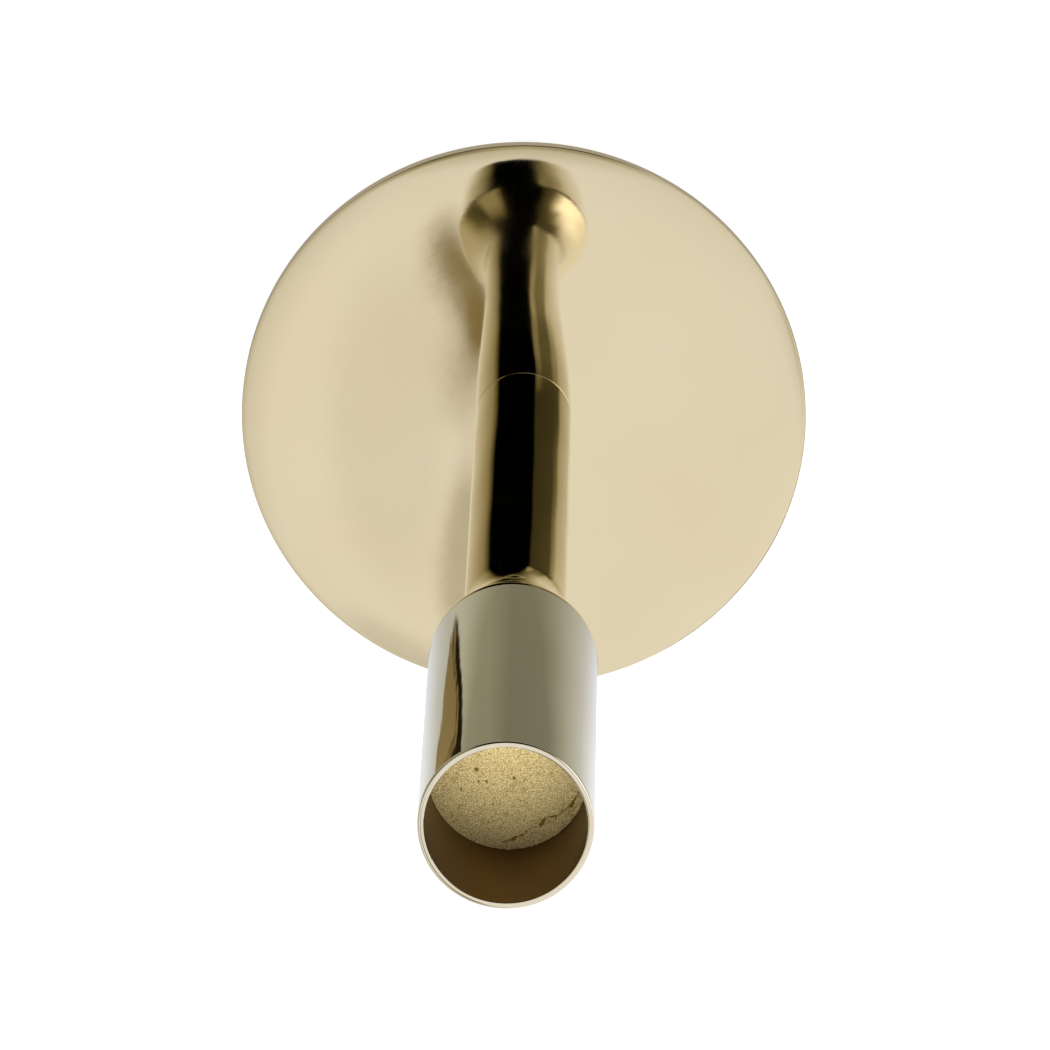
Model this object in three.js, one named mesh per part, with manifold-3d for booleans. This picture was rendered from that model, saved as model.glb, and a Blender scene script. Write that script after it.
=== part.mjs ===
// Polished brass taper candle holder: a thin round base, one slim stem and a long candle cup
// on one axis. Millimetres, +Z up, origin at the middle of the underside of the base pad.
import * as THREE from 'three';
import { mergeVertices } from 'three/addons/utils/BufferGeometryUtils.js';
import Module from 'manifold-3d';

// ---- driving dimensions -------------------------------------------------------------------
const TURNS = 60; // facets round every turned piece
const HALF_PI = Math.PI / 2;

const PAD_RADIUS = 42;
const PAD_THICKNESS = 1;

const BASE_RADIUS = 45;
const BASE_THICKNESS = 2.2; // at the rim; the top face is crowned above it
const BASE_BOW = 0.4; // even bow of the whole top face
const BASE_ROLL = 0.27; // extra fall close to the rim, left by the polishing wheel
const ROLL_POWER = 11;
const BASE_EDGE_ROUND = 0.25;

const SCREW_RADIUS = 2.5; // M5 countersunk screw that holds the base to the stem
const SCREW_HEAD_RADIUS = 4.7;
const SCREW_LENGTH = 16;
const SLOT_WIDTH = 1.2;
const SLOT_DEPTH = 0.9;
const CLEARANCE = 0.3; // radial gap round the screw

const STEM_RADIUS = 7.7;
const STEM_WALL = 1.2;
const STEM_TOP = 100; // end of the straight tube, above the rim of the base
const FIT = 0.05; // radial gap between a plug and the tube it sits in

const LOWER_PLUG_LENGTH = 20;
const PLUG_CHAMFER = 0.6;

const SPIGOT_LENGTH = 12; // part of the shoulder that enters the stem
const SPIGOT_BORE_RADIUS = 3.5;

const CUP_RADIUS = 12.5;
const CUP_WALL = 1;
const CUP_BALL_HEIGHT = 127.3; // centre of the ball-shaped lower end, above the rim of the base
const CUP_TOP = 199.4; // mouth, above the rim of the base
const LIP_ROUND = 0.3;
const SHOULDER_TOP = 130; // seam between shoulder and cup tube, above the rim of the base
const SHOULDER_WALL = 2.5;
const FLARE_RADIUS = 65; // hollow curve from the stem into the ball-shaped end
const SHOULDER_COLLAR = 5; // length of the shoulder's collar inside the cup tube

const SOCKET_DEPTH = 23;
const FLOOR_THICKNESS = 5;

// ---- heights of the meeting faces ---------------------------------------------------------
const baseBottom = PAD_THICKNESS;
const rimTop = baseBottom + BASE_THICKNESS;
const stemBottom = rimTop + BASE_BOW + BASE_ROLL;
const stemTop = rimTop + STEM_TOP;
const ballCentre = rimTop + CUP_BALL_HEIGHT;
const shoulderTop = rimTop + SHOULDER_TOP;
const cupTop = rimTop + CUP_TOP;
const floorTop = cupTop - SOCKET_DEPTH;
const cupBore = CUP_RADIUS - CUP_WALL;
const stemBore = STEM_RADIUS - STEM_WALL;

// ---- helpers ------------------------------------------------------------------------------
const brass = new THREE.MeshStandardMaterial({ color: 0xd9c184, roughness: 0.12, metalness: 1 });
const rawBrass = new THREE.MeshStandardMaterial({ color: 0xa08a55, roughness: 0.6, metalness: 1 });
const steel = new THREE.MeshStandardMaterial({ color: 0x9fa3a8, roughness: 0.35, metalness: 1 });
const felt = new THREE.MeshStandardMaterial({ color: 0x1d1c1b, roughness: 0.95, metalness: 0 });

const group = new THREE.Group();

// Points round a quarter or other arc, as [radius, height] pairs.
function arc(centreRadius, centreHeight, radius, from, to, steps) {
  return Array.from({ length: steps + 1 }, (_, step) => {
    const angle = from + ((to - from) * step) / steps;
    return [centreRadius + radius * Math.cos(angle), centreHeight + radius * Math.sin(angle)];
  });
}

// Turns an outline of [radius, height] pairs, given counter-clockwise, about the Z axis.
function turned(outline) {
  const points = outline.map(([radius, height]) => new THREE.Vector2(radius, height));
  if (points[0].x > 0) points.push(points[0].clone());
  return new THREE.LatheGeometry(points, TURNS).rotateX(HALF_PI);
}

function addPiece(name, geometry, material) {
  const mesh = new THREE.Mesh(geometry, material);
  mesh.name = name;
  group.add(mesh);
}

// ---- base ---------------------------------------------------------------------------------
addPiece('base_pad', turned([
  [0, 0],
  [PAD_RADIUS, 0],
  [PAD_RADIUS, PAD_THICKNESS],
  [0, PAD_THICKNESS],
]), felt);

// The top face is highest at the stem, falls in an even bow and rolls off close to the rim.
function crownHeight(radius) {
  const part = radius / BASE_RADIUS;
  return stemBottom - BASE_BOW * part ** 2 - BASE_ROLL * part ** ROLL_POWER;
}

const crownRings = [43, 41, 38, 33, 26, 17];
const headClearance = SCREW_HEAD_RADIUS + CLEARANCE;
const holeRadius = SCREW_RADIUS + CLEARANCE;
addPiece('base_disc', turned([
  [holeRadius, baseBottom + headClearance - holeRadius],
  [headClearance, baseBottom],
  ...arc(BASE_RADIUS - BASE_EDGE_ROUND, baseBottom + BASE_EDGE_ROUND, BASE_EDGE_ROUND, -HALF_PI, 0, 4),
  ...arc(BASE_RADIUS - BASE_EDGE_ROUND, rimTop - BASE_EDGE_ROUND, BASE_EDGE_ROUND, 0, HALF_PI, 4),
  ...crownRings.map((radius) => [radius, crownHeight(radius)]),
  [STEM_RADIUS, stemBottom],
  [holeRadius, stemBottom],
]), brass);

// ---- countersunk screw with a slotted head ------------------------------------------------
const wasm = await Module();
wasm.setup();

function toSolid(geometry) {
  const bare = geometry.clone();
  bare.deleteAttribute('normal');
  bare.deleteAttribute('uv');
  const merged = mergeVertices(bare, 1e-4);
  return new wasm.Manifold(new wasm.Mesh({
    numProp: 3,
    vertProperties: new Float32Array(merged.attributes.position.array),
    triVerts: new Uint32Array(merged.index.array),
  }));
}

function toGeometry(solid) {
  const mesh = solid.getMesh();
  const geometry = new THREE.BufferGeometry();
  geometry.setAttribute('position', new THREE.BufferAttribute(mesh.vertProperties, 3));
  geometry.setIndex(new THREE.BufferAttribute(mesh.triVerts, 1));
  return geometry;
}

const screwBlank = turned([
  [0, baseBottom],
  [SCREW_HEAD_RADIUS, baseBottom],
  [SCREW_RADIUS, baseBottom + SCREW_HEAD_RADIUS - SCREW_RADIUS],
  [SCREW_RADIUS, baseBottom + SCREW_LENGTH - PLUG_CHAMFER],
  [SCREW_RADIUS - PLUG_CHAMFER, baseBottom + SCREW_LENGTH],
  [0, baseBottom + SCREW_LENGTH],
]);
const slot = new THREE.BoxGeometry(3 * SCREW_HEAD_RADIUS, SLOT_WIDTH, 2 * SLOT_DEPTH)
  .translate(0, 0, baseBottom);
addPiece('base_screw', toGeometry(toSolid(screwBlank).subtract(toSolid(slot))), steel);

// ---- stem ---------------------------------------------------------------------------------
addPiece('stem_tube', turned([
  [stemBore, stemBottom],
  [STEM_RADIUS, stemBottom],
  [STEM_RADIUS, stemTop],
  [stemBore, stemTop],
]), brass);

const plugRadius = stemBore - FIT;
addPiece('stem_lower_plug', turned([
  [holeRadius, stemBottom],
  [plugRadius, stemBottom],
  [plugRadius, stemBottom + LOWER_PLUG_LENGTH - PLUG_CHAMFER],
  [plugRadius - PLUG_CHAMFER, stemBottom + LOWER_PLUG_LENGTH],
  [holeRadius, stemBottom + LOWER_PLUG_LENGTH],
]), rawBrass);

// ---- shoulder: spigot, hollow flare and the ball-shaped lower end of the cup --------------
// The flare's circle touches the stem and the ball from outside.
const flareCentreRadius = STEM_RADIUS + FLARE_RADIUS;
const flareDrop = Math.sqrt((CUP_RADIUS + FLARE_RADIUS) ** 2 - flareCentreRadius ** 2);
const flareBottom = ballCentre - flareDrop;
const touchAngle = Math.asin(flareDrop / (CUP_RADIUS + FLARE_RADIUS));
const collarRadius = cupBore - FIT;
const bellRadius = CUP_RADIUS - SHOULDER_WALL;
addPiece('cup_shoulder', turned([
  [SPIGOT_BORE_RADIUS, stemTop - SPIGOT_LENGTH],
  [plugRadius - PLUG_CHAMFER, stemTop - SPIGOT_LENGTH],
  [plugRadius, stemTop - SPIGOT_LENGTH + PLUG_CHAMFER],
  [plugRadius, stemTop],
  [STEM_RADIUS, stemTop],
  ...arc(flareCentreRadius, flareBottom, FLARE_RADIUS, Math.PI, Math.PI - touchAngle, 8),
  ...arc(0, ballCentre, CUP_RADIUS, -touchAngle, 0, 6).slice(1),
  [CUP_RADIUS, shoulderTop],
  [collarRadius, shoulderTop],
  [collarRadius, shoulderTop + SHOULDER_COLLAR],
  [bellRadius, shoulderTop + SHOULDER_COLLAR],
  [bellRadius, ballCentre],
  [SPIGOT_BORE_RADIUS, flareBottom],
]), brass);

// ---- cup ----------------------------------------------------------------------------------
addPiece('cup_tube', turned([
  [cupBore, shoulderTop],
  [CUP_RADIUS, shoulderTop],
  ...arc(CUP_RADIUS - LIP_ROUND, cupTop - LIP_ROUND, LIP_ROUND, 0, HALF_PI, 3),
  [cupBore, cupTop],
]), brass);

addPiece('socket_floor', turned([
  [0, floorTop - FLOOR_THICKNESS],
  [collarRadius, floorTop - FLOOR_THICKNESS],
  [collarRadius, floorTop],
  [0, floorTop],
]), rawBrass);

export default group;
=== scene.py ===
"""A polished brass taper candle holder on a white table, seen from almost straight above."""

import math

import bmesh
import bpy
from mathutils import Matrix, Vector, noise


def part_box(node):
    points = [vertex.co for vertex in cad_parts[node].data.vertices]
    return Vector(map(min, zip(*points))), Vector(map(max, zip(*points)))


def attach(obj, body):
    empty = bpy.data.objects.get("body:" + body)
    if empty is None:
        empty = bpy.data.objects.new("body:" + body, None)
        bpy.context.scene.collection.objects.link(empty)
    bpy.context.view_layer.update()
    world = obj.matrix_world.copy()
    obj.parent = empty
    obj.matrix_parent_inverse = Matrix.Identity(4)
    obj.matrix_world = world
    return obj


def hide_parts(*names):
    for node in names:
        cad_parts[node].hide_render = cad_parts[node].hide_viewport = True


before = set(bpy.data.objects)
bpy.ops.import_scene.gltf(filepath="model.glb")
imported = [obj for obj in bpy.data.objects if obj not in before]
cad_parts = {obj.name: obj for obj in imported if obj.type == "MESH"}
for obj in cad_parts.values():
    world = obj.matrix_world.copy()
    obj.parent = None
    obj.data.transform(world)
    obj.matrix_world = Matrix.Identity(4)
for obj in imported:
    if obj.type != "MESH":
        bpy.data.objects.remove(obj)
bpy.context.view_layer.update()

MM = 0.001
TURNS = 384  # steps round a turned piece

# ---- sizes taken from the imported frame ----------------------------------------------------
pad_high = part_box("base_pad")[1]
disc_low, disc_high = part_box("base_disc")
stem_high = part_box("stem_tube")[1]
cup_low, cup_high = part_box("cup_tube")
floor_low, floor_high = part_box("socket_floor")

BASE_BOW = 0.40 * MM  # even bow of the top face
BASE_ROLL = 0.27 * MM  # extra fall close to the rim
ROLL_POWER = 11
BASE_TILT = 0.0069  # the top face rises this much per unit length towards +X
SWELL_HEIGHT = 0.12 * MM  # a low swell that the polishing left in front of the stem
SWELL_PLACE = (3 * MM, -17 * MM)
SWELL_SPREAD = 7 * MM
BASE_EDGE_ROUND = 0.14 * MM
SCREW_HOLE_RADIUS = 2.8 * MM
STEM_WALL = 1.2 * MM
CUP_BALL_HEIGHT = 127.3 * MM  # centre of the cup's ball-shaped lower end, above the base's rim
FLARE_RADIUS = 65 * MM
CUP_WALL = 0.95 * MM
COLLAR_WALL = 1.5 * MM  # the shoulder's wall inside the cup tube
LIP_ROUND = 0.3 * MM
BORE_EDGE_ROUND = 0.1 * MM
FOOT_ROUND = 0.3 * MM  # rounded lower edge of the stem
HAND_WAVE = 0.02 * MM  # depth of the waves that hand polishing leaves
WAVE_STEP = 1.5 * MM  # longest step of an outline that these waves shape

base_radius = disc_high.x
base_bottom = disc_low.z
stem_bottom = disc_high.z
rim_top = stem_bottom - BASE_BOW - BASE_ROLL
stem_radius = stem_high.x
stem_top = stem_high.z
cup_radius = cup_high.x
cup_bore = cup_radius - CUP_WALL
cup_bottom = cup_low.z
cup_top = cup_high.z
ball_centre = rim_top + CUP_BALL_HEIGHT
socket_floor_top = floor_high.z


# ---- camera -------------------------------------------------------------------------------
CAMERA_DISTANCE = 1.541
CAMERA_TILT = math.radians(17.33)  # between the line of sight and the stem
CAMERA_TURN = math.radians(-2.3)
LENS_MM = 342.9
AIM = Vector((-0.93 * MM, 0, rim_top + 57.5 * MM))


def add_camera():
    """Looks down the stem from the -Y side, rolled so that the mouth is at the bottom."""
    back = Vector((
        math.sin(CAMERA_TILT) * math.sin(CAMERA_TURN),
        -math.sin(CAMERA_TILT) * math.cos(CAMERA_TURN),
        math.cos(CAMERA_TILT),
    ))
    right = Vector((0, -1, 0)).cross(back).normalized()
    up = back.cross(right)
    camera = bpy.data.objects.new("camera", bpy.data.cameras.new("camera"))
    bpy.context.scene.collection.objects.link(camera)
    for row in range(3):
        camera.matrix_world[row][0] = right[row]
        camera.matrix_world[row][1] = up[row]
        camera.matrix_world[row][2] = back[row]
    camera.location = AIM + back * CAMERA_DISTANCE
    camera.data.sensor_width = 36
    camera.data.lens = LENS_MM
    camera.data.clip_start = 0.05
    camera.data.clip_end = 50
    bpy.context.scene.camera = camera


# ---- mesh helpers -------------------------------------------------------------------------
def arc(centre_radius, centre_height, radius, start, end, steps=10):
    """Points on an arc in the (radius, height) plane; angles in degrees."""
    points = []
    for step in range(steps + 1):
        angle = math.radians(start + (end - start) * step / steps)
        points.append((
            centre_radius + radius * math.cos(angle),
            centre_height + radius * math.sin(angle),
        ))
    return points


def subdivided(outline, longest):
    """The closed outline with extra points, so that no step is longer than longest."""
    points = []
    for (r0, z0), (r1, z1) in zip(outline, outline[1:] + outline[:1]):
        length = math.hypot(r1 - r0, z1 - z0)
        guard = min(0.1 * MM, length / 4)
        points.append((r0, z0))
        if length < 1.0 * MM:
            continue
        count = max(1, math.ceil(length / longest))
        shares = [guard / length]
        shares += [step / count for step in range(1, count)]
        shares += [1 - guard / length]
        points += [(r0 + (r1 - r0) * share, z0 + (z1 - z0) * share) for share in shares]
    return points


def turned(name, outline, sharp=30, relief=None):
    """Turns a closed (radius, height) outline about Z; relief(x, y, z) then nudges each point."""
    mesh = bmesh.new()
    rings = []
    for radius, height in outline:
        ring = []
        for step in range(TURNS if radius > 0 else 1):
            angle = 2 * math.pi * step / TURNS
            point = (radius * math.cos(angle), radius * math.sin(angle), height)
            ring.append(mesh.verts.new(relief(*point) if relief else point))
        rings.append(ring)
    for lower, upper in zip(rings, rings[1:] + rings[:1]):
        if len(lower) == 1 and len(upper) == 1:
            continue
        for step in range(TURNS):
            after = (step + 1) % TURNS
            if len(lower) == 1:
                mesh.faces.new((lower[0], upper[after], upper[step]))
            elif len(upper) == 1:
                mesh.faces.new((lower[step], lower[after], upper[0]))
            else:
                mesh.faces.new((lower[step], lower[after], upper[after], upper[step]))
    data = bpy.data.meshes.new(name)
    mesh.to_mesh(data)
    mesh.free()
    for face in data.polygons:
        face.use_smooth = True
    data.set_sharp_from_angle(angle=math.radians(sharp))
    piece = bpy.data.objects.new(name, data)
    bpy.context.scene.collection.objects.link(piece)
    return piece


def hand_polished(x, y, z):
    """Shifts a point of a turned piece in or out along slow, shallow waves."""
    radius = math.hypot(x, y)
    turn = math.atan2(y, x)
    wave = math.sin(3 * turn + z / (9 * MM)) * math.sin(z / (14 * MM) + 1)
    wave += 0.5 * math.sin(5 * turn - z / (6 * MM))
    scale = 1 + HAND_WAVE * wave / radius
    return (x * scale, y * scale, z)


def finish_piece(piece, material, node):
    piece.data.materials.append(material)
    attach(piece, "root")
    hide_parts(node)


# ---- node helpers -------------------------------------------------------------------------
def new_material(name):
    material = bpy.data.materials.new(name)
    material.use_nodes = True
    shader = material.node_tree.nodes["Principled BSDF"]
    return material, material.node_tree, shader


def add_node(tree, kind, **inputs):
    node = tree.nodes.new(kind)
    for key, value in inputs.items():
        node.inputs[key.replace("_", " ")].default_value = value
    return node


def ramp(tree, source, low, high, start=0.0, end=1.0):
    """Maps source from low..high to start..end."""
    node = add_node(tree, "ShaderNodeMapRange", From_Min=low, From_Max=high, To_Min=start, To_Max=end)
    tree.links.new(source, node.inputs["Value"])
    return node.outputs["Result"]


def position(tree, scale=(1, 1, 1)):
    """The surface point in the row frame, stretched by scale."""
    place = tree.nodes.new("ShaderNodeTexCoord")
    mapping = add_node(tree, "ShaderNodeMapping", Scale=scale)
    tree.links.new(place.outputs["Object"], mapping.inputs["Vector"])
    return mapping.outputs["Vector"]


def height_value(tree):
    """The height of the surface point above the table."""
    apart = tree.nodes.new("ShaderNodeSeparateXYZ")
    tree.links.new(position(tree), apart.inputs["Vector"])
    return apart.outputs["Z"]


def noise_value(tree, vector, scale, detail=2.0, rough=0.5):
    node = add_node(tree, "ShaderNodeTexNoise", Scale=scale, Detail=detail, Roughness=rough)
    tree.links.new(vector, node.inputs["Vector"])
    return node.outputs["Fac"]


def bump(tree, height, distance, under=None):
    node = add_node(tree, "ShaderNodeBump", Strength=1.0, Distance=distance)
    tree.links.new(height, node.inputs["Height"])
    if under is not None:
        tree.links.new(under, node.inputs["Normal"])
    return node.outputs["Normal"]


# ---- materials ----------------------------------------------------------------------------
BRASS = (0.90, 0.79, 0.57, 1)
BRASS_WARM = (0.89, 0.77, 0.54, 1)
LIP_PAINTED_SHEEN = (1.0, 1.04, 1.22, 1)  # painted sheen: the lip is whiter and cooler than the rest, standing in for its glint


def color_mix(tree, blend):
    mix = tree.nodes.new("ShaderNodeMix")
    mix.data_type = "RGBA"
    mix.blend_type = blend
    return mix


def mixed(tree, factor, low, high):
    """A colour between low and high, by a 0..1 factor."""
    mix = color_mix(tree, "MIX")
    tree.links.new(factor, mix.inputs["Factor"])
    mix.inputs[6].default_value = low
    mix.inputs[7].default_value = high
    return mix.outputs[2]


def multiplied(tree, first, second):
    """The product of two colours."""
    mix = color_mix(tree, "MULTIPLY")
    mix.inputs["Factor"].default_value = 1
    tree.links.new(first, mix.inputs[6])
    tree.links.new(second, mix.inputs[7])
    return mix.outputs[2]


def lathe_lines(tree, lines_per_metre):
    """Noise that changes with the distance from the stem's axis and the height only."""
    place = tree.nodes.new("ShaderNodeTexCoord")
    apart = tree.nodes.new("ShaderNodeSeparateXYZ")
    tree.links.new(place.outputs["Object"], apart.inputs["Vector"])
    flat = tree.nodes.new("ShaderNodeCombineXYZ")
    tree.links.new(apart.outputs["X"], flat.inputs["X"])
    tree.links.new(apart.outputs["Y"], flat.inputs["Y"])
    reach = tree.nodes.new("ShaderNodeVectorMath")
    reach.operation = "LENGTH"
    tree.links.new(flat.outputs["Vector"], reach.inputs[0])
    profile = tree.nodes.new("ShaderNodeCombineXYZ")
    tree.links.new(reach.outputs["Value"], profile.inputs["X"])
    tree.links.new(apart.outputs["Z"], profile.inputs["Y"])
    return noise_value(tree, profile.outputs["Vector"], lines_per_metre, 3)


def specks(tree, cells_per_metre, size, share):
    """1 on a few small round spots and 0 elsewhere; share of the cells have a spot."""
    cells = add_node(tree, "ShaderNodeTexVoronoi", Scale=cells_per_metre)
    tree.links.new(position(tree), cells.inputs["Vector"])
    chosen = tree.nodes.new("ShaderNodeSeparateColor")
    tree.links.new(cells.outputs["Color"], chosen.inputs["Color"])
    spot = ramp(tree, cells.outputs["Distance"], size, size * 0.4)
    pick = tree.nodes.new("ShaderNodeMath")
    pick.operation = "LESS_THAN"
    pick.inputs[1].default_value = share
    tree.links.new(chosen.outputs["Red"], pick.inputs[0])
    both = tree.nodes.new("ShaderNodeMath")
    both.operation = "MULTIPLY"
    tree.links.new(spot, both.inputs[0])
    tree.links.new(pick.outputs["Value"], both.inputs[1])
    return both.outputs["Value"]


def polished_brass():
    """Mirror-bright brass with faint lathe lines, wiping marks, a few tiny dents and a painted sheen on the
    lip.
    """
    material, tree, shader = new_material("polished_brass")
    shader.inputs["Metallic"].default_value = 1
    tint = noise_value(tree, position(tree), 35, 2)
    plain = mixed(tree, ramp(tree, tint, 0.4, 0.7), BRASS, BRASS_WARM)
    # Painted sheen: a whiter, cooler colour near the top of the lip.
    lip = ramp(tree, height_value(tree), cup_top - 0.5 * MM, cup_top - 0.1 * MM)
    color = multiplied(tree, plain, mixed(tree, lip, (1, 1, 1, 1), LIP_PAINTED_SHEEN))
    tree.links.new(color, shader.inputs["Base Color"])
    smears = noise_value(tree, position(tree, (1, 1, 0.4)), 120, 5)
    tree.links.new(ramp(tree, smears, 0.35, 0.75, 0.025, 0.06), shader.inputs["Roughness"])
    lines = bump(tree, lathe_lines(tree, 1600), 0.0006 * MM)
    soft = bump(tree, noise_value(tree, position(tree), 160, 2), 0.004 * MM, lines)
    dents = bump(tree, specks(tree, 110, 0.03, 0.05), -0.01 * MM, soft)
    tree.links.new(dents, shader.inputs["Normal"])
    return material


def shaded_drawn_brass():
    """The bore of the cup: left as drawn and duller than the outside, and painted darker and browner as
    shade inside the deep bore.
    """
    material, tree, shader = new_material("shaded_drawn_brass")
    shader.inputs["Metallic"].default_value = 1
    stain = noise_value(tree, position(tree, (1, 1, 0.3)), 150, 4)
    # Painted shade: both colours are far darker than brass and stand in for the shade down the bore.
    color = mixed(tree, ramp(tree, stain, 0.35, 0.7), (0.12, 0.056, 0.0003, 1), (0.19, 0.105, 0.003, 1))
    tree.links.new(color, shader.inputs["Base Color"])
    tree.links.new(ramp(tree, stain, 0.3, 0.8, 0.36, 0.5), shader.inputs["Roughness"])
    draw_marks = noise_value(tree, position(tree, (1, 1, 0.03)), 1400, 3)
    tree.links.new(bump(tree, draw_marks, 0.004 * MM), shader.inputs["Normal"])
    return material


def cast_brass():
    """Sand-cast skin: grainy, dull gold, and darker in the hollows as painted shade."""
    material, tree, shader = new_material("cast_brass")
    shader.inputs["Metallic"].default_value = 0.3
    grains = noise_value(tree, position(tree), 5200, 4, 0.8)
    clumps = noise_value(tree, position(tree), 1500, 4, 0.7)
    grain_color = mixed(tree, ramp(tree, grains, 0.42, 0.56), (0.42, 0.29, 0.09, 1), (1.0, 0.83, 0.42, 1))
    clump_color = mixed(tree, ramp(tree, clumps, 0.33, 0.47), (0.70, 0.65, 0.54, 1), (1, 1, 1, 1))
    # Painted shade: the colour darkens where the relief dips, in the pits and along the crust's crevice.
    hollow = ramp(tree, height_value(tree), socket_floor_top - 0.16 * MM, socket_floor_top - 0.07 * MM)
    pit_shade_color = mixed(tree, hollow, (0.36, 0.26, 0.11, 1), (1, 1, 1, 1))
    color = multiplied(tree, multiplied(tree, grain_color, clump_color), pit_shade_color)
    tree.links.new(color, shader.inputs["Base Color"])
    tree.links.new(ramp(tree, grains, 0.3, 0.7, 0.55, 0.4), shader.inputs["Roughness"])
    tree.links.new(bump(tree, grains, 0.05 * MM), shader.inputs["Normal"])
    return material


def machined_brass():
    """Turned brass of the plug inside the stem, with open tool marks."""
    material, tree, shader = new_material("machined_brass")
    shader.inputs["Metallic"].default_value = 1
    marks = lathe_lines(tree, 3500)
    color = mixed(tree, ramp(tree, marks, 0.35, 0.65), (0.70, 0.55, 0.27, 1), (0.82, 0.68, 0.38, 1))
    tree.links.new(color, shader.inputs["Base Color"])
    tree.links.new(ramp(tree, marks, 0.3, 0.7, 0.25, 0.4), shader.inputs["Roughness"])
    tree.links.new(bump(tree, marks, 0.01 * MM), shader.inputs["Normal"])
    return material


def steel():
    """Zinc-plated steel of the base screw."""
    material, tree, shader = new_material("steel")
    shader.inputs["Metallic"].default_value = 1
    cloud = noise_value(tree, position(tree), 700, 4)
    color = mixed(tree, ramp(tree, cloud, 0.35, 0.65), (0.50, 0.51, 0.53, 1), (0.64, 0.65, 0.66, 1))
    tree.links.new(color, shader.inputs["Base Color"])
    tree.links.new(ramp(tree, cloud, 0.3, 0.7, 0.28, 0.45), shader.inputs["Roughness"])
    tree.links.new(bump(tree, lathe_lines(tree, 2600), 0.004 * MM), shader.inputs["Normal"])
    return material


def felt():
    """Charcoal wool felt with matted fibres."""
    material, tree, shader = new_material("felt")
    fibres = noise_value(tree, position(tree, (1, 0.35, 1)), 1800, 6, 0.75)
    tufts = noise_value(tree, position(tree), 260, 3)
    color = mixed(tree, ramp(tree, fibres, 0.3, 0.7), (0.018, 0.017, 0.016, 1), (0.055, 0.052, 0.048, 1))
    tree.links.new(color, shader.inputs["Base Color"])
    shader.inputs["Roughness"].default_value = 0.95
    shader.inputs["Sheen Weight"].default_value = 0.25
    shader.inputs["Sheen Roughness"].default_value = 0.6
    nap = bump(tree, tufts, 0.08 * MM)
    tree.links.new(bump(tree, fibres, 0.06 * MM, nap), shader.inputs["Normal"])
    return material


# ---- pieces -------------------------------------------------------------------------------
def crown_height(radius):
    """Height of the base's top face at this radius."""
    part = radius / base_radius
    return stem_bottom - BASE_BOW * part ** 2 - BASE_ROLL * part ** ROLL_POWER


def make_base(material):
    """The disc; relief leans its top face and raises the swell, and leaves the underside flat."""
    edge = BASE_EDGE_ROUND
    hole = SCREW_HOLE_RADIUS
    inner = base_radius - edge
    rings = 70
    radii = [inner * (1 - step / rings) for step in range(rings + 1)]
    face = [(radius, crown_height(radius)) for radius in radii if radius > hole]
    short = 0.1 * MM
    roll = math.degrees(math.atan((crown_height(inner - short) - crown_height(inner)) / short))
    outline = [(hole, base_bottom)]
    outline += arc(inner, base_bottom + edge, edge, -90, 0)
    outline += arc(inner, crown_height(inner) - edge, edge, 0, 90 - roll)
    outline += face[1:] + [(hole, stem_bottom)]

    def relief(x, y, z):
        share = min(1.0, max(0.0, (z - rim_top + edge) / edge))
        reach = math.hypot(x - SWELL_PLACE[0], y - SWELL_PLACE[1]) / SWELL_SPREAD
        swell = SWELL_HEIGHT * math.exp(-reach ** 2 / 2)
        return (x, y, z + share * (BASE_TILT * x + swell))

    piece = turned("base_disc_polished", subdivided(outline, 3 * MM), relief=relief)
    finish_piece(piece, material, "base_disc")


def make_stem(material):
    """The stem's foot stands on the lowest side of the leaning top face."""
    foot = stem_bottom - BASE_TILT * stem_radius
    outline = [(stem_radius - STEM_WALL, foot)]
    outline += arc(stem_radius - FOOT_ROUND, foot + FOOT_ROUND, FOOT_ROUND, -90, 0, 6)
    outline += [(stem_radius, stem_top), (stem_radius - STEM_WALL, stem_top)]
    piece = turned("stem_tube_polished", subdivided(outline, WAVE_STEP), relief=hand_polished)
    finish_piece(piece, material, "stem_tube")


def make_shoulder(material):
    """A hollow flare that runs smoothly into the ball-shaped lower end of the cup."""
    flare_centre = stem_radius + FLARE_RADIUS
    reach = cup_radius + FLARE_RADIUS
    drop = math.sqrt(reach ** 2 - flare_centre ** 2)
    touch = math.degrees(math.asin(drop / reach))
    inside = cup_bore - COLLAR_WALL
    outline = [(stem_radius - STEM_WALL, stem_top), (stem_radius, stem_top)]
    outline += arc(flare_centre, ball_centre - drop, FLARE_RADIUS, 180, 180 - touch, 24)
    outline += arc(0, ball_centre, cup_radius, -touch, 0, 24)[1:]
    outline += [(cup_radius, cup_bottom), (inside, cup_bottom), (inside, ball_centre)]
    piece = turned("cup_shoulder_polished", subdivided(outline, WAVE_STEP), relief=hand_polished)
    finish_piece(piece, material, "cup_shoulder")


def make_cup(material, bore_material):
    """The tube is polished outside and at the lip, and left as drawn in the bore, whose material carries
    painted shade.
    """
    edge = BORE_EDGE_ROUND
    outline = [(cup_bore, cup_bottom), (cup_radius, cup_bottom)]
    outline += arc(cup_radius - LIP_ROUND, cup_top - LIP_ROUND, LIP_ROUND, 0, 90, 6)
    outline += arc(cup_bore + edge, cup_top - edge, edge, 90, 180, 4)
    piece = turned("cup_tube_polished", subdivided(outline, WAVE_STEP), relief=hand_polished)
    finish_piece(piece, material, "cup_tube")
    piece.data.materials.append(bore_material)
    for face in piece.data.polygons:
        if math.hypot(face.center.x, face.center.y) < cup_bore + 2 * HAND_WAVE:
            face.material_index = 1


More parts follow.
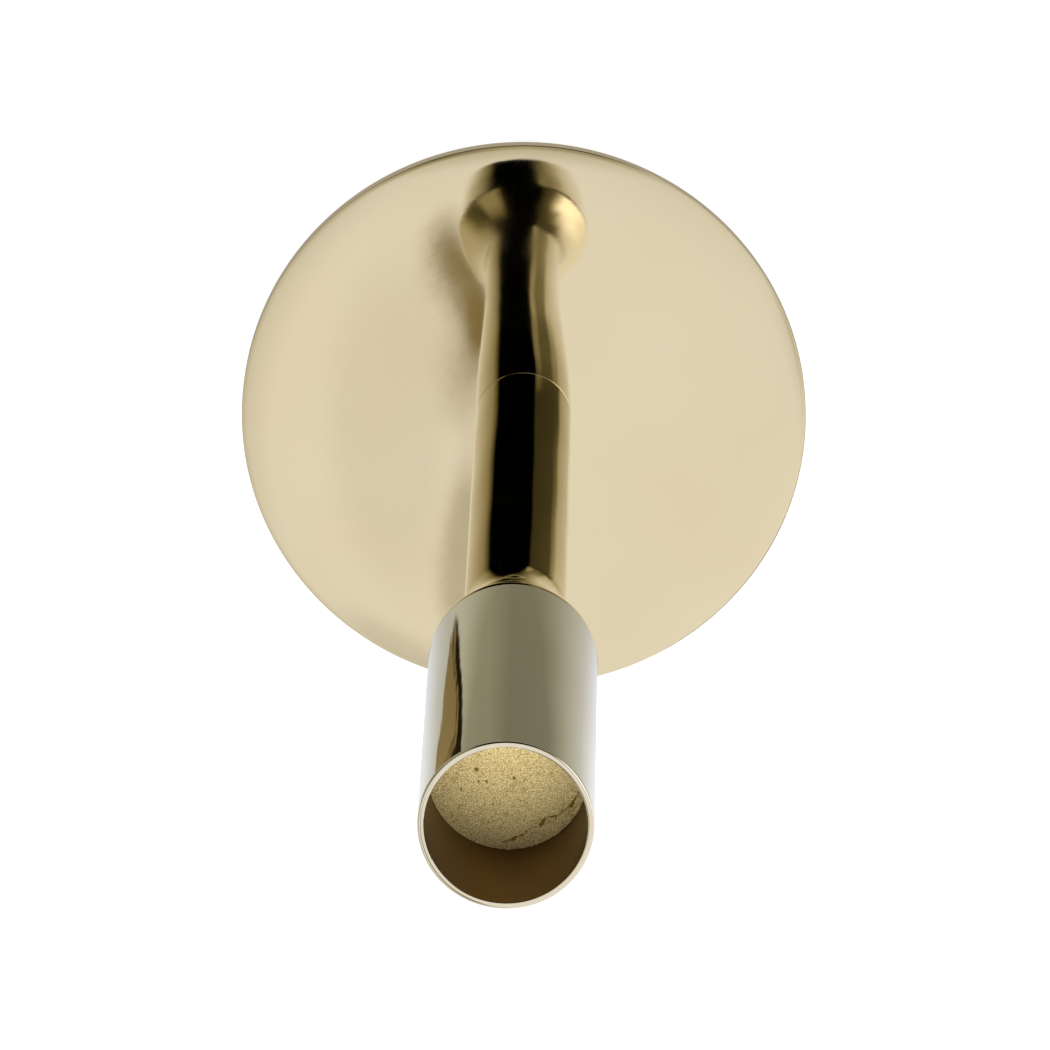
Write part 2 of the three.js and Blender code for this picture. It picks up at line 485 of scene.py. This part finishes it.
# Pits in the casting, in mm: (x, y, radius), with the camera on the -Y side and +X at its left.
CASTING_PITS = (
    (4.5, -0.5, 0.32), (4.2, 1.3, 0.22), (3.1, 1.3, 0.24), (6.7, 2.5, 0.22), (-0.9, 0.8, 0.26),
    (-5.0, 0.3, 0.17), (-6.2, 0.0, 0.16), (5.1, 5.9, 0.18), (2.2, 4.7, 0.2), (1.4, -3.6, 0.16),
)
CRUST_TURN = math.radians(122)  # where the crust along the socket's wall is widest
CRUST_SPAN = math.radians(34)
CRUST_WIDTH = 2.1  # mm


def casting_height(x, y, radius):
    """Relief of the socket's floor in mm, at x and y in mm."""
    grain = 0.05 * noise.noise(Vector((x, y, 0)) * 0.9) + 0.035 * noise.noise(Vector((x, y, 3)) * 2.3)
    grain += 0.05 * noise.noise(Vector((x, y, 7)) * 4.5)
    height = grain
    for pit_x, pit_y, pit_radius in CASTING_PITS:
        reach = math.hypot(x - pit_x, y - pit_y) / pit_radius
        height -= 0.8 * pit_radius * math.exp(-reach ** 4)
    off = (math.atan2(y, x) - CRUST_TURN) / CRUST_SPAN
    ragged = 0.5 * noise.noise(Vector((x, y, 11)) * 0.8) + 0.3 * noise.noise(Vector((x, y, 13)) * 2.2)
    width = CRUST_WIDTH * math.exp(-off ** 2) + 0.45 * math.exp(-(off / 1.9) ** 4) + ragged * 0.8
    inside = math.hypot(x, y) - (radius - width)
    if -1.1 < off < 2.2:
        height += 0.16 / (1 + math.exp(-inside / 0.08)) * (1 + 3 * grain / 0.1)
        height -= 0.29 * math.exp(-(inside / 0.15) ** 2)
    return height


def make_socket_floor(material):
    """A plain plug below, with the casting's relief on its top face."""
    radius = cup_bore - 1.5 * HAND_WAVE
    low = floor_low.z
    rings = 84
    outline = [(0, low), (radius, low)]
    outline += [(radius * (1 - step / rings), socket_floor_top) for step in range(rings + 1)]

    def relief(x, y, z):
        if z < socket_floor_top:
            return (x, y, z)
        return (x, y, z + casting_height(x / MM, y / MM, radius / MM) * MM)

    piece = turned("socket_floor_cast", outline, sharp=75, relief=relief)
    finish_piece(piece, material, "socket_floor")


def make_pad(material):
    """The felt under the base, with soft edges and a slightly uneven skin."""
    radius = pad_high.x - 0.3 * MM
    thick = pad_high.z
    edge = 0.35 * MM
    outline = [(radius * step / 40, 0) for step in range(40)]
    outline += arc(radius - edge, edge, edge, -90, 0, 5)
    outline += arc(radius - edge, thick - edge, edge, 0, 90, 5)
    outline += [(0, thick)]

    def relief(x, y, z):
        point = Vector((x, y, z))
        lumps = noise.noise(point / (0.9 * MM)) + 0.6 * noise.noise(point / (0.4 * MM))
        reach = math.hypot(x, y)
        if reach < radius - 2 * edge:
            return (x, y, z + (0.02 * MM * max(0, 1 + lumps) if z == 0 else 0))
        scale = 1 + 0.08 * MM * lumps / reach
        return (x * scale, y * scale, z)

    piece = turned("base_pad_felt", outline, sharp=180, relief=relief)
    finish_piece(piece, material, "base_pad")


# ---- studio -------------------------------------------------------------------------------
# Light round the sky, by angle from straight up. Each ring lists (turn, brightness): turn is
# counted from the camera's side, in degrees, positive towards the left of the picture.
# The camera hangs in a dark gap, so the polished stem mirrors a black stripe.
SKY_RINGS = {
    0: ((-180, 0.30), (180, 0.30)),
    5: ((-180, 0.50), (-90, 0.25), (-40, 0.05), (0, 0.0), (80, 0.0), (120, 0.2), (180, 0.50)),
    9: ((-180, 0.80), (-100, 0.65), (-70, 0.40), (-40, 0.10), (-20, 0.0), (70, 0.0),
        (110, 0.40), (150, 0.75), (180, 0.80)),
    15: ((-180, 0.83), (-150, 0.80), (-110, 0.65), (-84, 0.5), (-74, 0.16), (-50, 0.16),
         (-44, 0.36), (-35, 0.34), (-29, 0.0), (63, 0.0),
         (80, 0.30), (110, 0.50), (135, 0.65), (160, 0.83), (180, 0.83)),
    18: ((-180, 0.83), (-150, 0.80), (-138, 0.58), (-100, 0.36), (-91, 0.05), (-36, 0.04),
         (-32, 0.0), (63, 0.0), (80, 0.28), (110, 0.48), (135, 0.60), (160, 0.83), (180, 0.83)),
    24: ((-180, 0.83), (-150, 0.85), (-120, 0.75), (-100, 0.70), (-88, 0.50), (-78, 0.10),
         (-36, 0.05), (-30, 0.0), (60, 0.0), (82, 0.30), (110, 0.45), (145, 0.65), (160, 0.80), (180, 0.83)),
    34: ((-180, 0.80), (-120, 0.95), (-100, 1.25), (-88, 1.4), (-74, 1.1), (-62, 0.3),
         (-48, 0.1), (-20, 0.0), (28, 0.0), (36, 0.20), (58, 0.20), (66, 0.04), (85, 0.12),
         (105, 0.45), (180, 0.60)),
    40: ((-180, 0.80), (-115, 0.90), (-98, 1.1), (-80, 1.5), (-58, 1.5), (-50, 0.5), (-43, 0.12),
         (-24, 0.0), (28, 0.0), (36, 0.30), (58, 0.30), (66, 0.04), (84, 0.10), (100, 0.45),
         (180, 0.60)),
    68: ((-180, 0.85), (-115, 0.90), (-98, 1.1), (-80, 1.5), (-58, 1.5), (-50, 0.6), (-43, 0.12),
         (-24, 0.0), (28, 0.0), (36, 0.32), (60, 0.32), (68, 0.06), (82, 0.10), (100, 0.45),
         (180, 0.70)),
    80: ((-180, 0.9), (-100, 0.9), (-52, 0.8), (-42, 0.2), (-22, 0.02), (28, 0.02), (38, 0.3),
         (90, 0.5), (180, 0.9)),
    84: ((-180, 0.9), (-90, 0.9), (-20, 0.8), (0, 0.6), (40, 0.6), (90, 0.8), (180, 0.9)),
    100: ((-180, 0.9), (-90, 0.9), (-20, 0.8), (0, 0.6), (40, 0.6), (90, 0.8), (180, 0.9)),
}
DIM_TINT = (1.0, 0.88, 0.35)
LIT_TINT = (1.0, 0.995, 0.95)
SKY_DISTANCE = 3.0

# Brightness of the table top as the cup mirrors it, by distance behind the stem in metres.
TABLE_SHADES = ((-0.50, 0.17), (-0.08, 0.185), (-0.05, 0.205), (-0.032, 0.31), (-0.016, 0.41),
                (0.0, 0.49), (0.016, 0.57), (0.032, 0.70), (0.048, 0.83), (0.07, 0.93), (0.5, 0.97))


def between(points, place):
    """Linear interpolation in a list of (place, value) pairs."""
    if place <= points[0][0]:
        return points[0][1]
    for (start, low), (end, high) in zip(points, points[1:]):
        if place <= end:
            return low + (high - low) * (place - start) / (end - start)
    return points[-1][1]


def tinted(brightness):
    """Dim surroundings are brown, lit ones are white."""
    share = min(1.0, brightness / 0.7)
    return [brightness * (dim + (lit - dim) * share) for dim, lit in zip(DIM_TINT, LIT_TINT)]


def sky_light(tilt, turn):
    rings = sorted(SKY_RINGS)
    values = [(ring, between(SKY_RINGS[ring], turn)) for ring in rings]
    return tinted(between(values, tilt))


def attribute_glow(name):
    """A material with the mesh's light attribute, an emission and an output, not yet linked."""
    material = bpy.data.materials.new(name)
    material.use_nodes = True
    tree = material.node_tree
    tree.nodes.clear()
    color = tree.nodes.new("ShaderNodeAttribute")
    color.attribute_name = "light"
    glow = tree.nodes.new("ShaderNodeEmission")
    output = tree.nodes.new("ShaderNodeOutputMaterial")
    return material, tree, color, glow, output


def painted(name):
    """An emission material that shows the mesh's own light attribute."""
    material, tree, color, glow, output = attribute_glow(name)
    tree.links.new(color.outputs["Color"], glow.inputs["Color"])
    tree.links.new(glow.outputs["Emission"], output.inputs["Surface"])
    return material


def stage_grid(name, rows, columns, place, light, material, diffuse=False):
    """A sheet of rows x columns points that the camera can't see, but the brass mirrors.

    place and light give each point's position and colour; diffuse lets it light matt surfaces.
    """
    points = [place(row, column) for row in range(rows) for column in range(columns)]
    colors = [value for row in range(rows) for column in range(columns)
              for value in (*light(row, column), 1.0)]
    faces = [
        (row * columns + column, row * columns + column + 1,
         (row + 1) * columns + column + 1, (row + 1) * columns + column)
        for row in range(rows - 1) for column in range(columns - 1)
    ]
    data = bpy.data.meshes.new(name)
    data.from_pydata(points, [], faces)
    data.attributes.new("light", "FLOAT_COLOR", "POINT").data.foreach_set("color", colors)
    data.materials.append(material)
    sheet = bpy.data.objects.new(name, data)
    bpy.context.scene.collection.objects.link(sheet)
    sheet.visible_camera = False
    sheet.visible_diffuse = diffuse
    sheet.visible_shadow = False


def add_sky():
    """A dome with a point for every degree of tilt, down to just below level, and of turn."""
    rows, columns = 101, 361

    def place(row, column):
        tilt = math.radians(row)
        turn = math.radians(column - 180)
        return (
            SKY_DISTANCE * math.sin(tilt) * math.sin(turn),
            -SKY_DISTANCE * math.sin(tilt) * math.cos(turn),
            SKY_DISTANCE * math.cos(tilt),
        )

    def light(row, column):
        return sky_light(row, column - 180)

    stage_grid("studio_sky", rows, columns, place, light, painted("studio_sky"), diffuse=True)


# Painted shadows: soft brown cards on one clear sheet over the base, which the polished base
# mirrors as soft shade; each as: centre (x, y), half width, half length, lean in radians, strength.
CARD_HEIGHT = 0.40
CARD_SHEET_START = (-0.01, 0.03)
CARD_SHEET_STEP = 0.0015
SHADOW_CARDS = (
    ((0.0176, 0.089), 0.0110, 0.042, 0.12, 1.0),
    ((0.0155, 0.156), 0.0075, 0.042, -0.12, 0.5),
    ((0.0340, 0.121), 0.0240, 0.070, 0.0, 0.12),
    ((0.0500, 0.222), 0.0330, 0.045, 0.0, 0.2),
)
# The brown of the painted shadows.
CARD_SHADOW_COLOR = (0.22, 0.17, 0.07)


def card_shadow_share(x, y, centre, half_width, half_length, lean, strength):
    """How much of the sky one soft card hides at this place on the sheet, as painted shadow."""
    across = (x - centre[0]) * math.cos(lean) + (y - centre[1]) * math.sin(lean)
    along = (y - centre[1]) * math.cos(lean) - (x - centre[0]) * math.sin(lean)
    reach = min(1.0, math.hypot(across / half_width, along / half_length))
    return strength * min(1.0, 0.8 + 0.8 * math.cos(math.pi * reach))


def shadow_card_film():
    """Clear where the light attribute is black, and as brown as the painted shadow cards where it is white.
    """
    material, tree, share, glow, output = attribute_glow("cards")
    glow.inputs["Color"].default_value = (*CARD_SHADOW_COLOR, 1)
    clear = tree.nodes.new("ShaderNodeBsdfTransparent")
    mix = tree.nodes.new("ShaderNodeMixShader")
    tree.links.new(share.outputs["Color"], mix.inputs["Fac"])
    tree.links.new(clear.outputs["BSDF"], mix.inputs[1])
    tree.links.new(glow.outputs["Emission"], mix.inputs[2])
    tree.links.new(mix.outputs["Shader"], output.inputs["Surface"])
    return material


def add_shadow_cards():
    """One clear sheet over the base that carries all the painted shadow cards."""

    def place(row, column):
        start_x, start_y = CARD_SHEET_START
        return (start_x + CARD_SHEET_STEP * column, start_y + CARD_SHEET_STEP * row, CARD_HEIGHT)

    def light(row, column):
        x, y, z = place(row, column)
        clear = 1.0
        for card in SHADOW_CARDS:
            clear *= 1 - card_shadow_share(x, y, *card)
        return (1 - clear, 1 - clear, 1 - clear)

    stage_grid("cards", 165, 67, place, light, shadow_card_film())


# A brown board on the table beside the base: its near and far sides as (x, y) points, and
# how wide its dark edge, a painted shadow, looks at x.
BOARD_NEAR = ((0.0525, -0.015), (0.064, -0.041), (0.070, -0.042), (0.076, -0.030), (0.084, -0.008))
BOARD_EDGE = ((0.0525, 0.003), (0.058, 0.012), (0.062, 0.014), (0.066, 0.011), (0.076, 0.008))
BOARD_FAR = ((0.0525, -0.012), (0.056, -0.004), (0.067, 0.002), (0.071, 0.013), (0.084, 0.014))
BOARD_SHADOW_COLOR = (0.015, 0.01, 0.002)
BOARD_GROOVE = (0.003, 0.005)  # from and to, in metres past the dark edge
BOARD_GROOVE_COLOR = (0.06, 0.04, 0.012)

TABLE_IN_BRASS_HEIGHT = -0.3 * MM
SHADOW_GAP = 0.05 * MM
SHADOW_WIDTH = 2 * MM
SHADOW_COLOR = (0.40, 0.37, 0.31)


def board_color(x, y):
    """The colour of the board at this place on the table, or None where it doesn't lie."""
    if x < BOARD_NEAR[0][0] or x > BOARD_NEAR[-1][0]:
        return None
    near_side = between(BOARD_NEAR, x)
    if y < near_side or y > between(BOARD_FAR, x):
        return None
    past_edge = y - near_side - between(BOARD_EDGE, x)
    # Painted shadow: the strip along the board's near side is almost black.
    if past_edge < 0:
        return BOARD_SHADOW_COLOR
    if BOARD_GROOVE[0] < past_edge < BOARD_GROOVE[1]:
        return BOARD_GROOVE_COLOR
    depth = min(1.0, max(0.0, (x - 0.05) / 0.03))
    return (0.17 + 0.1 * depth, 0.135 + 0.07 * depth, 0.06 + 0.03 * depth)


def table_light(x, y):
    """What the brass mirrors in place of the table top: grey in front, bright and cool behind."""
    board = board_color(x, y)
    if board:
        return board
    shade = between(TABLE_SHADES, y)
    lift = 1 + 0.35 * max(0.0, min(1.0, x / 0.03)) * max(0.0, min(1.0, -y / 0.03))
    cool = min(1.0, max(0.0, (shade - 0.2) / 0.5))
    return (shade * lift * (1 - 0.04 * cool), shade * lift, shade * lift * (0.78 + 0.28 * cool))


def add_table_top():
    """The white table that the camera sees, and that the brass doesn't mirror."""
    material, tree, shader = new_material("table")
    shader.inputs["Base Color"].default_value = (0.2, 0.2, 0.2, 1)
    shader.inputs["Roughness"].default_value = 0.9
    shader.inputs["Emission Color"].default_value = (1, 1, 1, 1)
    shader.inputs["Emission Strength"].default_value = 0.93
    half = 3
    corners = [(-half, -half, 0), (half, -half, 0), (half, half, 0), (-half, half, 0)]
    data = bpy.data.meshes.new("table")
    data.from_pydata(corners, [], [(0, 1, 2, 3)])
    data.materials.append(material)
    top = bpy.data.objects.new("table", data)
    bpy.context.scene.collection.objects.link(top)
    top.visible_glossy = False


def add_table_in_brass():
    """The mirrored table; its points are close together near the base and far apart outside."""
    half, steps = 0.16, 241

    def spread(step):
        share = 2 * step / (steps - 1) - 1
        return half * share * (1 + 12 * share ** 8)

    def place(row, column):
        return (spread(column), spread(row), TABLE_IN_BRASS_HEIGHT)

    def light(row, column):
        return table_light(spread(column), spread(row))

    stage_grid("table_in_brass", steps, steps, place, light, painted("table_in_brass"))


def add_shadow_in_brass():
    """A narrow ring: the base's own shadow on the table, as its rim mirrors it."""
    columns = 181

    def place(row, column):
        reach = base_radius + SHADOW_GAP + SHADOW_WIDTH * row
        turn = 2 * math.pi * column / (columns - 1)
        return (reach * math.cos(turn), reach * math.sin(turn), TABLE_IN_BRASS_HEIGHT + 0.1 * MM)

    def light(row, column):
        return SHADOW_COLOR

    stage_grid("shadow_in_brass", 2, columns, place, light, painted("shadow_in_brass"))


WORLD_GREY = (0.4, 0.4, 0.4, 1)
LAMP_PLACE = Vector((0, 0.6, 2.2))
LAMP_WIDTH = 2
LAMP_WATTS = 80


def add_lamp():
    """A wide soft lamp behind the holder, which lights the matt surfaces only."""
    light = bpy.data.lights.new("table_light", "AREA")
    light.shape = "DISK"
    light.size = LAMP_WIDTH
    light.energy = LAMP_WATTS
    lamp = bpy.data.objects.new("table_light", light)
    lamp.location = LAMP_PLACE
    lamp.rotation_euler = (-LAMP_PLACE).to_track_quat("-Z", "Y").to_euler()
    lamp.visible_glossy = False
    bpy.context.scene.collection.objects.link(lamp)


def add_studio():
    scene = bpy.context.scene
    scene.view_settings.view_transform = "Standard"
    world = bpy.data.worlds.new("studio")
    scene.world = world
    world.use_nodes = True
    world.node_tree.nodes["Background"].inputs["Color"].default_value = WORLD_GREY
    add_sky()
    add_shadow_cards()
    add_table_top()
    add_table_in_brass()
    add_shadow_in_brass()
    add_lamp()


# ---- build --------------------------------------------------------------------------------
add_camera()
brass_material = polished_brass()
make_base(brass_material)
make_stem(brass_material)
make_shoulder(brass_material)
make_cup(brass_material, shaded_drawn_brass())
make_socket_floor(cast_brass())
make_pad(felt())
for node_name, node_material in (("base_screw", steel()), ("stem_lower_plug", machined_brass())):
    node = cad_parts[node_name]
    node.data.materials.clear()
    node.data.materials.append(node_material)
add_studio()
